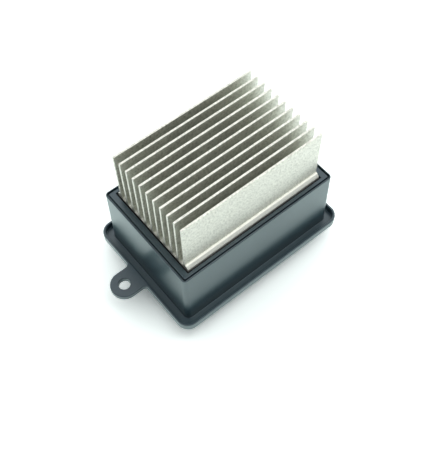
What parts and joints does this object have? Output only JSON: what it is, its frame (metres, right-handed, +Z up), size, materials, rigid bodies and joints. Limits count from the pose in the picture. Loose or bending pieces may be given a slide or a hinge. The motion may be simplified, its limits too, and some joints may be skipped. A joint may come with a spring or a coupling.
{
  "type": "blower motor resistor",
  "caption": "Vehicle heater blower regulator: a finned aluminium heat sink standing in a black moulded collar with a lipped flange, one screw ear and plug sockets underneath.",
  "frame": {"origin": "middle of the wall between the two plug sockets, on the face where the plugs enter and on which the part stands", "axes": "+Z up through the fins, +X along the fins and away from the screw ear"},
  "size_m": [0.1007, 0.0632, 0.0687],
  "materials": {
    "housing_plastic": "satin moulded glass-filled plastic",
    "aluminium": "mill-finish extrusion",
    "silicone": "cured sealant",
    "screw_steel": "zinc-plated",
    "moulding_compound": "moulded epoxy",
    "tinned_copper": "tinned",
    "thermal_pad": "filled silicone sheet",
    "board_laminate": "solder-masked glass laminate",
    "capacitor_can": "sleeved can",
    "capacitor_box": "moulded box",
    "resistance_strip": "resistance alloy strip",
    "chip_body": "coated ceramic",
    "chip_ceramic": "sintered ceramic",
    "terminal_brass": "tin-flashed brass"
  },
  "bodies": {
    "root": {"housing": "housing_plastic", "heat_sink": "aluminium", "sealing_bead": "silicone", "heat_sink_screws": "screw_steel", "transistor_left": "moulding_compound", "transistor_right": "moulding_compound", "transistor_legs_left": "tinned_copper", "transistor_legs_right": "tinned_copper", "thermal_pad_left": "thermal_pad", "thermal_pad_right": "thermal_pad", "transistor_screws": "screw_steel", "circuit_board": "board_laminate", "board_screws": "screw_steel", "electrolytic_capacitor": "capacitor_can", "film_capacitor": "capacitor_box", "shunt_resistor": "resistance_strip", "control_chip": "moulding_compound", "chip_resistors": "chip_body", "chip_capacitors": "chip_ceramic", "suppressor_diode": "moulding_compound", "motor_plus_blade": "terminal_brass", "motor_minus_blade": "terminal_brass", "supply_blade": "terminal_brass", "ground_blade": "terminal_brass", "signal_pins": "terminal_brass", "bottom_cover": "housing_plastic", "cover_screws": "screw_steel"}
  },
  "joints": []
}
